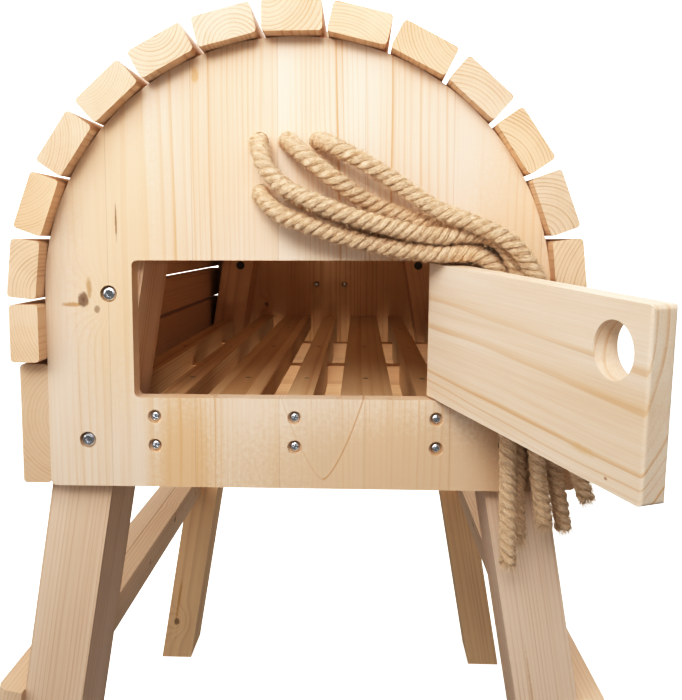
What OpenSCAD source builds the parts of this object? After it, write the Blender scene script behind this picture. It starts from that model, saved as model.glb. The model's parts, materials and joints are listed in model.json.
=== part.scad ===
// Wooden ride-on play horse: a slatted barrel on four splayed legs, with a
// storage box that opens through a hinged flap under the rope tail.
// The frame is X to the right, Y from tail to head and Z up, in millimetres.

/* [Barrel] */
// Radius of the round top of the end boards
barrel_r = 210; // [180:1:240]
// Height of the straight sides of the end boards
side_h = 163; // [150:1:180]
// Length over the two end boards
barrel_len = 868; // [780:1:960]
// Thickness of the end boards and the flap's stock
board_t = 18; // [16:1:20]
// Height of the barrel's underside above the floor
belly_z = 560; // [480:1:640]

/* [Slats] */
// Thickness of the batten stock
batten_t = 24; // [20:1:26]
// Width of the batten stock
batten_w = 48; // [44:1:49]
// Angle from one slat to the next round the back
slat_step = 14; // [13.8:0.1:14.5]
// How far the slats stand out past the end boards
slat_overhang = 18; // [10:1:20]
// Height of the wide lowest slat on each side
skirt_h = 103; // [95:1:106]

/* [Legs] */
// Thickness of a leg across its lean
leg_t = 53; // [46:1:56]
// Depth of a leg along the barrel
leg_d = 88; // [70:1:100]
// Sideways run of a leg per unit of height
leg_slope = 0.167; // [0.12:0.001:0.18]
// Outer face of a leg at the barrel's underside, from the middle
leg_out = 215; // [212:0.5:217]
// Height of the leg's top above the barrel's underside
leg_rise = 250; // [220:5:260]

/* [Steps] */
// How far the foot rests lie below the barrel's underside
step_drop = 196; // [150:1:240]

/* [Storage flap] */
// Width of the opening in the rear board
opening_w = 272; // [250:1:276]
// Height of the opening
opening_h = 116; // [110:1:118]
// Opening's lower edge above the barrel's underside
opening_z = 77; // [76:1:80]
// Thickness of the flap
flap_t = 17; // [16:0.5:17]
// How far the flap stands open at rest, in degrees
flap_open = 111.5; // [0:0.5:114]
// Radius of the flap's finger hole
finger_r = 17.5; // [15:0.5:19]

/* [Rope] */
// Diameter of the tail ropes
rope_d = 14; // [12:0.5:14]

/* [Head] */
// Thickness of the head board
head_t = 28; // [24:1:30]

/* [Hidden] */
fit = 0.15;                                   // clearance round fasteners
run = 0.06;                                   // running clearance of the flap's pins
barrel_h = barrel_r + side_h;
board_y = [0, barrel_len - board_t];
in_y = [board_t, barrel_len - board_t];
slat_count = 6;                               // round slats each side of the top one
skirt_z = 2;
side_slat_z = 133;                            // middle of the upright slat above the skirt
edge_r = 3;
rail_x = 119;
rail_top = 68;
flat_slat_x = 61;
side_rail_x = 180;
nail_x = [-side_rail_x, -rail_x, -flat_slat_x, 0, flat_slat_x, rail_x, side_rail_x];
nail_r = 1.5;
rail_bottom = rail_top - batten_w;
cross_y = [161, 410, 645];
cross_len = 396;
leg_lean = atan(leg_slope);
leg_wx = leg_t / cos(leg_lean);               // width of a leg along X
leg_front = [board_t, barrel_len - board_t - leg_d];
leg_bolts = [[156, 165], [177, 40]];          // X and height of each leg's two bolts
bolt_r = 4;
screw_r = 2.2;
screw_head_r = 4.4;
screw_sink = 1.4;                             // how deep the heads lie in the wood
recess_r = 5.7;
recess_t = 4.2;
bolt_sink = 1.4;
bolt_recess_r = 7.1;
bolt_recess_t = 4.8;
rail_screw_z = [35.5, 60.5];
neck_screw_x = 26;
neck_screw_z = [127, 215, 303];
step_y = [10, barrel_len - 10];
step_screw_y = [180, 385, 595, 690];
step_leg_y = [25, 62];
opening_r = 4.5;
flap_gap = 1.9;
flap_h = opening_h - 2 * flap_gap;
pin_x = opening_w / 2 - 12;                   // middle of the flap's pivot line
pin_y = 6.5;
pin_z = opening_z + opening_h / 2;
pin_lean = [1.66, 1.29, 0];                   // the line leans out and right at the top, so the flap droops
pin_axis = [sin(pin_lean[1]) * cos(pin_lean[0]), -sin(pin_lean[0]), cos(pin_lean[0]) * cos(pin_lean[1])];
flap_face = 6;                                // axis to the flap's outer face
flap_tail = 10;                               // flap past its axis
flap_len = pin_x + opening_w / 2 - 2;
flap_corner = 3;
pin_r = 2;
pin_grip = 14;
rope_r = rope_d / 2;
knot_r = 11;
cheek_t = 24;
nose_reach = 322;
free_corner = [2 - flap_len, flap_t - flap_face - 2, flap_h / 2 - flap_corner];
flap_reach = 2 - pin_y - turned(free_corner, flap_open)[1];
mid_y = (barrel_len + nose_reach - flap_reach) / 2;
sides = [-1, 1];
side_names = ["left", "right"];
end_names = ["rear", "front"];

// Tail rope routes: X, Y from the rear board's face, height above the underside.
rope_routes = [
    [[20, 18, 290], [20, -2, 290], [24, -15, 288], [32, -24, 284], [43, -29, 278], [61, -30, 268],
     [83, -28, 254], [115, -31, 233], [148, -38, 220], [172, -39, 206], [190, -36, 182],
     [199, -35, 154], [203, -34, 126], [208, -32, 98], [216, -31, 66], [226, -30, 34], [236, -29, 4]],
    [[-5, 18, 290], [-5, -2, 290], [-2, -15, 287], [5, -25, 281], [16, -31, 271], [37, -30, 255],
     [60, -21, 240], [84, -15, 230], [115, -12, 221], [148, -11, 218], [174, -10, 206], [190, -10, 186],
     [198, -10, 160], [201, -10, 126], [203, -10, 90], [208, -10, 52], [216, -11, 13], [223, -12, -26]],
    [[-28, 18, 290], [-28, -1, 290], [-27, -14, 287], [-24, -25, 278], [-19, -32, 266], [-6, -37, 252],
     [15, -42, 241], [45, -40, 229], [85, -32, 218], [116, -25, 213], [148, -25, 214], [168, -25, 204],
     [182, -23, 176], [187, -24, 148], [190, -23, 112], [194, -21, 70], [199, -20, 25], [206, -20, -21]],
    [[-27, 18, 248], [-27, -1, 248], [-25, -14, 245], [-18, -24, 238], [-6, -31, 229], [19, -33, 220],
     [51, -28, 210], [84, -24, 203], [115, -22, 199], [144, -22, 199], [161, -22, 188], [168, -22, 169],
     [169, -22, 140], [171, -21, 100], [174, -20, 60], [175, -20, 20], [176, -20, -18], [177, -20, -53]],
    [[-2, 18, 248], [-2, -2, 248], [2, -15, 245], [10, -23, 241], [23, -27, 235], [50, -24, 225],
     [84, -13, 213], [115, -9, 207], [142, -8, 204], [163, -8, 195], [178, -9, 175], [184, -9, 145],
     [185, -9, 105], [186, -9, 68], [186, -9, 30], [185, -9, -4], [186, -9, -38]]
];
rope_names = ["tail_rope_1", "tail_rope_2", "tail_rope_3", "tail_rope_4", "tail_rope_5"];

// Outline of the head and neck board: distance ahead of the front board, height
// above the underside. The curve runs smoothly through the points.
neck_back = [[0, 96], [0, 338], [21, 368]];
crest = [[21, 368], [34, 410], [62, 475], [100, 535], [138, 578]];
ear = [[138, 578], [146, 604], [160, 628], [172, 604], [178, 582]];
face = [[178, 582], [214, 562], [252, 512], [292, 462], [318, 440], [322, 416], [306, 396], [276, 394]];
jaw = [[276, 394], [240, 418], [206, 440], [178, 432], [160, 396]];
chest = [[160, 396], [146, 330], [120, 250], [84, 172], [44, 112], [0, 96]];
cheek_top = [[21, 368], [30, 400], [52, 440], [84, 462], [120, 452], [146, 420], [152, 380]];
cheek_chest = [[152, 380], [140, 316], [114, 242], [80, 170], [42, 114], [0, 98]];
neck_bolt_at = [[44, 330], [92, 390], [56, 200]];

function bow(p, n = 4) = [
    for (i = [0 : len(p) - 2]) for (j = [0 : n - 1])
        let (t = j / n, a = p[max(i - 1, 0)], b = p[i], c = p[i + 1], d = p[min(i + 2, len(p) - 1)])
        0.5 * (2 * b + (c - a) * t + (2 * a - 5 * b + 4 * c - d) * t * t
               + (3 * b - a - 3 * c + d) * t * t * t)];

// A vector turned by an angle about the flap's pivot line.
function turned(v, a) = v * cos(a) + cross(pin_axis, v) * sin(a) + pin_axis * (pin_axis * v) * (1 - cos(a));

// Corner points of a w by h rectangle centred on the origin, with rounded corners.
function soft_rect(w, h, r, n = 3) = [
    for (c = [[1, 1, 0], [-1, 1, 90], [-1, -1, 180], [1, -1, 270]]) for (i = [0 : n])
        [c[0] * (w / 2 - r), c[1] * (h / 2 - r)] + r * [cos(c[2] + 90 * i / n), sin(c[2] + 90 * i / n)]];

// Everything is drawn from the rear board's outer face, then centred on the floor.
module placed() { translate([0, -mid_y, 0]) children(); }

// A flat outline in X and Z, made len deep along Y from y.
module along(y, len) { translate([0, y + len, 0]) rotate([90, 0, 0]) linear_extrude(len) children(); }

module rod_y(x, y, z, r, len) { translate([x, y + len, z]) rotate([90, 0, 0]) cylinder(h = len, r = r, $fn = 32); }

module end_outline() {
    intersection() {
        translate([0, side_h]) circle(r = barrel_r, $fn = 128);
        translate([-2 * barrel_r, side_h - 20]) square(4 * barrel_r);
    }
    translate([0, side_h / 2 + 10]) square([2 * barrel_r, side_h - 20], center = true);
    polygon([for (p = soft_rect(2 * barrel_r, side_h - 20, 5)) p + [0, side_h / 2 - 10]]);
}

module at_belly() { translate([0, 0, belly_z]) children(); }

// Shanks of the fasteners that pass through the end boards, grown by g.
module rail_shanks(y0, len, g) {
    for (x = [-rail_x, 0, rail_x]) for (z = rail_screw_z) rod_y(x, y0, z, screw_r + g, len);
}

module bolt_shanks(y0, len, g) {
    for (s = sides) for (b = leg_bolts) rod_y(s * b[0], y0, b[1], bolt_r + g, len);
}

module slat_angles_shanks(y, g) {
    for (i = [-slat_count : slat_count])
        translate([0, y, side_h]) rotate([0, i * slat_step, 0]) translate([0, 0, barrel_r - 26])
            cylinder(h = 26 + batten_t - 4, r = 2 + g, $fn = 20);
    for (s = sides) for (z = [side_slat_z, 28, 80])
        translate([s * (barrel_r - 26), y, z]) rotate([0, s * 90, 0])
            cylinder(h = 26 + batten_t - 4, r = 2 + g, $fn = 20);
}

module rear_board() {
    color("#e9cda4") placed() at_belly() difference() {
        along(0, board_t) end_outline();
        along(-1, board_t + 2)
            polygon([for (p = soft_rect(opening_w, opening_h, opening_r, 6)) p + [0, opening_z + opening_h / 2]]);
        for (r = rope_routes) rod_y(r[0][0], -1, r[0][2], rope_r + 0.4, board_t + 2);
        rail_shanks(-1, board_t + 2, fit);
        for (x = [-rail_x, 0, rail_x]) for (z = rail_screw_z) face_recess(x, 0, z, 1);
        bolt_shanks(-1, board_t + 2, fit);
        for (s = sides) for (b = leg_bolts) rod_y(s * b[0], -1, b[1], bolt_recess_r, 1 + bolt_recess_t);
        slat_angles_shanks(board_t / 2, fit);
        for (e = [-1, 1]) on_pivot(e * (opening_h / 2 + pin_grip / 2))
            cylinder(h = pin_grip + 1, r = pin_r, center = true, $fn = 32);
    }
}

module front_board() {
    color("#e9cda4") placed() at_belly() difference() {
        along(board_y[1], board_t) end_outline();
        rail_shanks(board_y[1] - 1, board_t + 2, fit);
        for (x = [-rail_x, 0, rail_x]) for (z = rail_screw_z)
            face_recess(x, barrel_len, z, -1);
        bolt_shanks(board_y[1] - 1, board_t + 2, fit);
        for (s = sides) for (b = leg_bolts) rod_y(s * b[0], barrel_len - bolt_recess_t, b[1], bolt_recess_r, 6);
        for (s = sides) for (z = neck_screw_z) {
            rod_y(s * neck_screw_x, board_y[1] - 1, z, screw_r + fit, board_t + 2);
            face_recess(s * neck_screw_x, board_y[1], z, 1);
        }
        slat_angles_shanks(barrel_len - board_t / 2, fit);
    }
}

// One batten of the back, w wide, lying on the end boards, with its two screw holes.
module slat_body(w, y0, len, zs) {
    difference() {
        translate([0, 0, batten_t / 2]) along(y0, len) polygon(soft_rect(w, batten_t, edge_r));
        for (y = [board_t / 2, barrel_len - board_t / 2]) for (x = zs) translate([x, y, 0]) {
            translate([0, 0, -1]) cylinder(h = batten_t + 2, r = 2 + fit, $fn = 20);
            translate([0, 0, batten_t - 4]) cylinder(h = 5, r = 4.5, $fn = 28);
        }
    }
}

// Back slats are numbered from the left skirt over the top to the right skirt.
module back_slat(i) {
    k = i - slat_count - 3;
    s = sign(k);
    n = abs(k);
    color(i % 2 == 0 ? "#e3bf8e" : "#edd3ab") placed() at_belly() {
        if (n <= slat_count)
            translate([0, 0, side_h]) rotate([0, k * slat_step, 0]) translate([0, 0, barrel_r])
                slat_body(batten_w, -slat_overhang, barrel_len + 2 * slat_overhang, [0]);
        if (n == slat_count + 1)
            translate([s * barrel_r, 0, side_slat_z]) rotate([0, s * 90, 0])
                slat_body(batten_w, -slat_overhang, barrel_len + 2 * slat_overhang, [0]);
        if (n == slat_count + 2)
            translate([s * barrel_r, 0, skirt_z + skirt_h / 2]) rotate([0, s * 90, 0])
                slat_body(skirt_h, 0, barrel_len, [s * (skirt_z + skirt_h / 2 - 28), s * (skirt_z + skirt_h / 2 - 80)]);
    }
}

module slat_screws() {
    color("#b9bcc0") placed() at_belly() {
        for (y = [board_t / 2, barrel_len - board_t / 2]) {
            slat_angles_shanks(y, 0);
            for (i = [-slat_count : slat_count])
                translate([0, y, side_h]) rotate([0, i * slat_step, 0]) translate([0, 0, barrel_r + batten_t - 4])
                    cylinder(h = 2.6, r = 4.1, $fn = 28);
            for (s = sides) for (z = [side_slat_z, 28, 80])
                translate([s * (barrel_r + batten_t - 4), y, z]) rotate([0, s * 90, 0])
                    cylinder(h = 2.6, r = 4.1, $fn = 28);
        }
    }
}

// A leg's outline on the right side, seen along Y, from the floor up.
module leg_outline() {
    foot = leg_out + leg_slope * belly_z;
    trim = barrel_r - 0.4;
    trim_z = (leg_out - trim) / leg_slope;
    polygon([[foot - leg_wx, 0], [foot, 0], [leg_out, belly_z], [trim, belly_z],
             [trim, belly_z + trim_z], [leg_out - leg_slope * leg_rise, belly_z + leg_rise],
             [leg_out - leg_slope * leg_rise - leg_wx, belly_z + leg_rise]]);
}

module leg(e, s) {
    color("#e6c698") placed() difference() {
        along(leg_front[e], leg_d) scale([s, 1]) leg_outline();
        at_belly() {
            bolt_shanks(leg_front[e] - 1, leg_d + 2, fit);
            for (b = leg_bolts)
                rod_y(s * b[0], e == 0 ? leg_front[0] + leg_d - 6 : leg_front[1] - 1, b[1], 7.4, 7);
        }
        at_step(s) for (y = step_leg_y) step_leg_hole(e == 0 ? board_t + y : barrel_len - board_t - y, fit);
    }
}

// The foot rests' own frame: origin on the leg's outer face, X outwards, Z along the leg.
module at_step(s) {
    z = belly_z - step_drop;
    scale([s, 1, 1]) translate([leg_out + leg_slope * step_drop, 0, z]) rotate([0, -leg_lean, 0]) children();
}

module step_leg_hole(y, g) {
    translate([-34, y, -batten_w / 2]) rotate([0, 90, 0]) cylinder(h = 34 + batten_t - 5, r = 2.5 + g, $fn = 20);
}

module step_joint_hole(y, g) {
    translate([-batten_t, y, -batten_w / 2]) rotate([0, 90, 0]) cylinder(h = batten_t + 16, r = screw_r + g, $fn = 20);
}

module step_outer(s) {
    corner = 12;
    len = step_y[1] - step_y[0];
    color("#e2bd8a") placed() at_step(s) difference() {
        translate([0, step_y[0], -batten_w]) linear_extrude(batten_w) polygon(concat(
            [[0, 0]], [for (i = [0 : 6]) [batten_t - corner + corner * sin(15 * i), corner - corner * cos(15 * i)]],
            [for (i = [0 : 6]) [batten_t - corner + corner * cos(15 * i), len - corner + corner * sin(15 * i)]],
            [[0, len]]));
        for (e = [0, 1]) for (y = step_leg_y) {
            yy = e == 0 ? board_t + y : barrel_len - board_t - y;
            step_leg_hole(yy, fit);
            translate([batten_t - 5, yy, -batten_w / 2]) rotate([0, 90, 0]) cylinder(h = 6, r = 5.6, $fn = 28);
        }
        for (y = step_screw_y) step_joint_hole(y, fit);
    }
}

module step_inner(s) {
    color("#e8c99c") placed() at_step(s) difference() {
        translate([-batten_t - 0.6, leg_front[0] + leg_d + 0.5, -batten_w])
            cube([batten_t, leg_front[1] - leg_front[0] - leg_d - 1, batten_w]);
        for (y = step_screw_y) {
            step_joint_hole(y, fit);
            translate([-batten_t - 2, y, -batten_w / 2]) rotate([0, 90, 0]) cylinder(h = 5, r = 4.6, $fn = 28);
        }
    }
}

module step_screws() {
    color("#b9bcc0") placed() for (s = sides) at_step(s) {
        for (e = [0, 1]) for (y = step_leg_y) {
            yy = e == 0 ? board_t + y : barrel_len - board_t - y;
            step_leg_hole(yy, 0);
            translate([batten_t - 5, yy, -batten_w / 2]) rotate([0, 90, 0]) cylinder(h = 3, r = 5, $fn = 28);
        }
        for (y = step_screw_y) {
            step_joint_hole(y, 0);
            translate([-batten_t + 0.2, y, -batten_w / 2]) rotate([0, 90, 0]) cylinder(h = 2.6, r = 4.2, $fn = 28);
        }
    }
}

// Nails down through the rails and flat slats into the cross battens, grown by g.
module nail_shanks(x, g) {
    for (y = cross_y) translate([x, y, 6]) cylinder(h = rail_top - 7, r = nail_r + g, $fn = 20);
}

module nail_seats(x) {
    for (y = cross_y) translate([x, y, rail_top - 1.6]) cylinder(h = 3, r = 3.6, $fn = 24);
}

// A batten on edge, notched from below over the three cross battens.
module floor_rail(x, y0, y1) {
    color("#dcb683") placed() at_belly() difference() {
        translate([x - batten_t / 2, y0, rail_bottom]) cube([batten_t, y1 - y0, batten_w]);
        for (y = cross_y) translate([x - batten_t, y - batten_t / 2 - 0.3, rail_bottom - 1])
            cube([2 * batten_t, batten_t + 0.6, 1 + batten_w / 2 + 0.05]);
        nail_shanks(x, fit);
        nail_seats(x);
        rail_shanks(y0 - 1, 43, fit);
        rail_shanks(y1 - 42, 43, fit);
    }
}

module floor_slat(s) {
    color("#e0bb88") placed() at_belly() difference() {
        translate([s * flat_slat_x - batten_w / 2, board_t + 1, rail_bottom + batten_w / 2])
            cube([batten_w, barrel_len - 2 * board_t - 2, batten_w / 2]);
        nail_shanks(s * flat_slat_x, fit);
        nail_seats(s * flat_slat_x);
    }
}

// A cross batten on edge; the rails are notched over it and the flat slats lie on it.
module floor_batten(i) {
    color("#d9b07a") placed() at_belly() difference() {
        translate([-cross_len / 2, cross_y[i] - batten_t / 2, rail_bottom - batten_w / 2])
            cube([cross_len, batten_t, batten_w]);
        for (x = nail_x) nail_shanks(x, fit);
    }
}

module floor_nails() {
    color("#77787a") placed() at_belly() for (x = nail_x) {
        nail_shanks(x, 0);
        for (y = cross_y) translate([x, y, rail_top - 1.6]) cylinder(h = 1.2, r = 3.2, $fn = 24);
    }
}

// Moves to a height on the flap's pivot line, measured from its middle.
module on_pivot(h) { translate([pin_x, pin_y, pin_z]) rotate(pin_lean) translate([0, 0, h]) children(); }

// The flap in its closed place, the middle of its pivot line at the origin, the free end towards -X.
module flap_closed() {
    mid = (flap_tail - flap_len) / 2;
    long = flap_len + flap_tail;
    back = flap_t - flap_face;
    difference() {
        intersection() {
            translate([0, 0, -flap_h / 2]) linear_extrude(flap_h) polygon(concat(
                [for (i = [0 : 6]) [flap_tail - 5 + 5 * sin(15 * i), 5 - flap_face - 5 * cos(15 * i)]],
                [for (i = [0 : 6]) [flap_tail - 5 + 5 * cos(15 * i), back - 5 + 5 * sin(15 * i)]],
                [for (i = [0 : 4]) [2 - flap_len - 2 * sin(22.5 * i), back - 2 + 2 * cos(22.5 * i)]],
                [for (i = [0 : 4]) [2 - flap_len - 2 * cos(22.5 * i), 2 - flap_face - 2 * sin(22.5 * i)]]));
            translate([mid, 30, 0]) rotate([90, 0, 0]) linear_extrude(60)
                polygon(soft_rect(long, flap_h, flap_corner, 6));
        }
        translate([30 - flap_len, 0, 26.5]) rotate([90, 0, 0]) cylinder(h = 60, r = finger_r, center = true, $fn = 64);
        for (e = [-1, 1]) rotate(pin_lean) translate([0, 0, e * (flap_h / 2 - 4)])
            cylinder(h = 16, r = pin_r + run, center = true, $fn = 32);
    }
}

module flap() {
    color("#f1dcbb") placed() at_belly() translate([pin_x, pin_y, pin_z])
        rotate(a = flap_open, v = pin_axis) flap_closed();
}

module flap_pins() {
    color("#b9bcc0") placed() at_belly() for (e = [-1, 1])
        on_pivot(e * (opening_h / 2 + 2)) cylinder(h = 2 * pin_grip - 5, r = pin_r - 0.01, center = true, $fn = 32);
}

// The recess a screw head lies in, with a broken edge, going in along Y from a face at y.
module face_recess(x, y, z, dir) {
    translate([x, y, z]) rotate([dir > 0 ? -90 : 90, 0, 0]) {
        translate([0, 0, -1]) cylinder(h = 1 + recess_t, r = recess_r, $fn = 36);
        translate([0, 0, -0.5]) cylinder(h = 1.1, r1 = recess_r + 1.1, r2 = recess_r, $fn = 36);
    }
}

// A domed cross-head screw going in along Y; the face it sits in is at y.
module face_screw(x, y, z, len, dir) {
    translate([x, y, z]) rotate([dir > 0 ? -90 : 90, 0, 0]) {
        difference() {
            translate([0, 0, screw_sink]) rotate_extrude($fn = 36)
                polygon([[0, 0], [1.4, 0.1], [2.6, 0.45], [3.6, 1.05], [4.2, 1.7], [screw_head_r, 2.2],
                         [screw_head_r, recess_t - screw_sink], [0, recess_t - screw_sink]]);
            for (a = [0, 90]) rotate([0, 0, a + 20]) translate([-2.7, -0.6, 0]) cube([5.4, 1.2, screw_sink + 1.5]);
        }
        translate([0, 0, recess_t - 0.1]) cylinder(h = len, r = screw_r, $fn = 20);
    }
}

module board_screws() {
    color("#b9bcc0") placed() at_belly() for (x = [-rail_x, 0, rail_x]) for (z = rail_screw_z) {
        face_screw(x, 0, z, 50, 1);
        face_screw(x, barrel_len, z, 50, -1);
    }
}

module neck_screws() {
    color("#85878a") placed() at_belly() for (s = sides) for (z = neck_screw_z)
        face_screw(s * neck_screw_x, board_y[1], z, 55, 1);
}

// A flat round head with a hexagon socket.
module socket_head(r, h) {
    difference() {
        rotate_extrude($fn = 40) polygon([[0, 0], [r - 0.8, 0], [r, 0.7], [r, h], [0, h]]);
        translate([0, 0, -1]) cylinder(h = 2.8, r = 2.9, $fn = 6);
    }
}

// A domed head with a hexagon socket, h thick.
module button_head(h) {
    difference() {
        rotate_extrude($fn = 40) polygon([[0, 0], [3.4, 0], [4.8, 0.4], [5.8, 1.1], [6.3, 2], [6.3, h], [0, h]]);
        translate([0, 0, -1]) cylinder(h = 2.9, r = 3, $fn = 6);
    }
}

// Button-head bolts from the end boards' outer faces; their sleeve nuts sit in the legs.
module leg_bolts() {
    head = bolt_recess_t - bolt_sink;
    color("#b9bcc0") placed() at_belly() for (s = sides) for (b = leg_bolts) for (e = [0, 1])
        translate([s * b[0], e == 0 ? bolt_sink : barrel_len - bolt_sink, b[1]]) rotate([e == 0 ? -90 : 90, 0, 0]) {
            button_head(head);
            translate([0, 0, head - 0.1]) cylinder(h = 68, r = bolt_r, $fn = 32);
        }
}

module leg_nuts() {
    color("#5b5b5e") placed() at_belly() for (s = sides) for (b = leg_bolts) for (e = [0, 1])
        translate([s * b[0], e == 0 ? leg_front[0] + leg_d - 3 : leg_front[1] + 3, b[1]])
            rotate([e == 0 ? 90 : -90, 0, 0]) {
                socket_head(7, 2.5);
                translate([0, 0, 2.4]) cylinder(h = 26, r = bolt_r, $fn = 32);
            }
}

module tail_knots() {
    color("#b98d55") placed() at_belly() for (r = rope_routes)
        translate([r[0][0], board_t, r[0][2]]) rotate([-90, 0, 0]) rotate_extrude($fn = 40)
            polygon([[0, 0], [9, 0], [10.5, 3], [knot_r, 8], [10.4, 13], [7.5, 18], [0, 20]]);
}

// Head and neck
module neck_solid(outline, x0, t) {
    translate([x0, barrel_len, belly_z]) rotate([90, 0, 90]) linear_extrude(t) polygon(outline);
}

module neck_bores(g) {
    for (p = neck_bolt_at) translate([-head_t / 2 - cheek_t + 3, barrel_len + p[0], belly_z + p[1]])
        rotate([0, 90, 0]) cylinder(h = head_t + 2 * cheek_t - 6, r = bolt_r + g, $fn = 32);
}

module head_board() {
    color("#e9cda4") placed() difference() {
        neck_solid(concat(neck_back, bow(crest), bow(ear), bow(face), bow(jaw), bow(chest)), -head_t / 2, head_t);
        neck_bores(fit);
        translate([-head_t, barrel_len + 208, belly_z + 524]) rotate([0, 90, 0]) cylinder(h = 2 * head_t, r = 9, $fn = 40);
    }
}

module neck_cheek(s) {
    color("#e3bf8e") placed() difference() {
        neck_solid(concat([[0, 98], [0, 338]], bow(cheek_top), bow(cheek_chest)),
                   s > 0 ? head_t / 2 : -head_t / 2 - cheek_t, cheek_t);
        neck_bores(fit);
        for (p = neck_bolt_at) translate([s * (head_t / 2 + cheek_t + 1), barrel_len + p[0], belly_z + p[1]])
            rotate([0, -s * 90, 0]) cylinder(h = 5, r = 7.4, $fn = 32);
        at_belly() for (z = neck_screw_z) rod_y(s * neck_screw_x, barrel_len - 1, z, screw_r + fit, 46);
    }
}

module neck_bolts() {
    color("#b9bcc0") placed() {
        neck_bores(0);
        for (s = sides) for (p = neck_bolt_at)
            translate([s * (head_t / 2 + cheek_t - 0.6), barrel_len + p[0], belly_z + p[1]])
                rotate([0, -s * 90, 0]) socket_head(7, 2.6);
    }
}

// A tube swept along a route, with its rings square to the route.
function unit(v) = v / norm(v);
function heading(p, i) = unit(p[min(i + 1, len(p) - 1)] - p[max(i - 1, 0)]);
function ring_side(h) = unit(cross(h, abs(h[1]) > 0.8 ? [1, 0, 0] : [0, 1, 0]));

module tube(p, r, n = 8) {
    pts = [for (i = [0 : len(p) - 1])
        let (h = heading(p, i), a = ring_side(h), b = cross(h, a))
        for (k = [0 : n - 1]) p[i] + r * (a * cos(360 * k / n) + b * sin(360 * k / n))];
    last = len(p) - 1;
    polyhedron(pts, concat(
        [[for (k = [0 : n - 1]) k]],
        [[for (k = [n - 1 : -1 : 0]) last * n + k]],
        [for (i = [0 : last - 1]) for (k = [0 : n - 1])
            [i * n + k, (i + 1) * n + k, (i + 1) * n + (k + 1) % n, i * n + (k + 1) % n]]));
}

module tail_rope(i) {
    color("#c9a06a") placed() at_belly() tube(rope_routes[i], rope_r);
}

rear_board();
front_board();
for (i = [1 : 2 * slat_count + 5]) back_slat(i);
for (e = [0, 1]) for (s = [0, 1])
    leg(e, sides[s]);
for (s = [0, 1]) step_outer(sides[s]);
for (s = [0, 1]) step_inner(sides[s]);
floor_rail(-rail_x, in_y[0], in_y[1]);  // floor_rail_left
floor_rail(0, in_y[0], in_y[1]);  // floor_rail_middle
floor_rail(rail_x, in_y[0], in_y[1]);  // floor_rail_right
floor_rail(-side_rail_x, leg_front[0] + leg_d + 1, leg_front[1] - 1);  // side_rail_left
floor_rail(side_rail_x, leg_front[0] + leg_d + 1, leg_front[1] - 1);  // side_rail_right
floor_slat(-1);  // floor_slat_left
floor_slat(1);  // floor_slat_right
floor_batten(0);  // floor_batten_rear
floor_batten(1);  // floor_batten_middle
floor_batten(2);  // floor_batten_front
floor_nails();
flap();
flap_pins();
board_screws();
leg_bolts();
leg_nuts();
slat_screws();
step_screws();
neck_screws();
head_board();
neck_cheek(-1);  // neck_cheek_left
neck_cheek(1);  // neck_cheek_right
neck_bolts();
tail_knots();
for (i = [0 : len(rope_names) - 1]) tail_rope(i);
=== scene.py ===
# Wooden ride-on play horse: studio, camera, wood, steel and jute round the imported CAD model.
import json
import math
import random

import bpy
import numpy as np
from mathutils import Matrix, Vector


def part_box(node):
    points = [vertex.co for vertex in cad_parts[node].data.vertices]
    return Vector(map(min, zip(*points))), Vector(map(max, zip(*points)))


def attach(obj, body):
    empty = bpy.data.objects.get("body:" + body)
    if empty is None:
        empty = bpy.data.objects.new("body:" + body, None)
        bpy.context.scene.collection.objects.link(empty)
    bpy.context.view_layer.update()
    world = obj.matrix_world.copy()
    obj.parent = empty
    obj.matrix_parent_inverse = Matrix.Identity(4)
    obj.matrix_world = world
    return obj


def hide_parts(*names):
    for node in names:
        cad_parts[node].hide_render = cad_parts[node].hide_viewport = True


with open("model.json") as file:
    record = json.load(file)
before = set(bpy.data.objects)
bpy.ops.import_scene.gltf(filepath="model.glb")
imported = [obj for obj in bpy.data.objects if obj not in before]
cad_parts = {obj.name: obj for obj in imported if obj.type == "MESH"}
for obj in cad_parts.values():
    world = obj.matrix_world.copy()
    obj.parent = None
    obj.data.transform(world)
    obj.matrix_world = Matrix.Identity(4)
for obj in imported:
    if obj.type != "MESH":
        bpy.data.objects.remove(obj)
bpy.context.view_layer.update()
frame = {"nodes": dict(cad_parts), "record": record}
nodes = frame["nodes"]

board_lo, board_hi = (Vector(v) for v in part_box("rear_board"))
Y0 = board_lo.y  # outer face of the rear board
Z0 = board_lo.z  # underside of the barrel


def at(x, y, z):
    """Millimetres from the rear board's outer face and the barrel's underside, to the row frame."""
    return Vector((x / 1000, Y0 + y / 1000, Z0 + z / 1000))


# ---------------------------------------------------------------- camera
CAM_LENS = 43.3795  # mm, on a sensor 36 mm wide
CAM_SHIFT = (0.030059, -0.040029)  # parts of the sensor's width
CAM_PLACE = (54.4, -678.2, 210.3)  # mm, as at() takes them
CAM_YAW, CAM_PITCH = 0.0479, -0.1009  # radians


def make_camera():
    cam = bpy.data.cameras.new("camera")
    cam.sensor_fit = "HORIZONTAL"
    cam.sensor_width = 36.0
    cam.lens = CAM_LENS
    cam.shift_x, cam.shift_y = CAM_SHIFT
    cam.clip_start = 0.02
    ob = bpy.data.objects.new("camera", cam)
    bpy.context.scene.collection.objects.link(ob)
    level = math.cos(CAM_PITCH)
    fwd = Vector((-math.sin(CAM_YAW) * level, math.cos(CAM_YAW) * level, math.sin(CAM_PITCH)))
    right = Vector((math.cos(CAM_YAW), math.sin(CAM_YAW), 0))
    m = Matrix((right, right.cross(fwd), -fwd)).transposed().to_4x4()
    m.translation = at(*CAM_PLACE)
    ob.matrix_world = m
    bpy.context.scene.camera = ob


make_camera()


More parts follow.
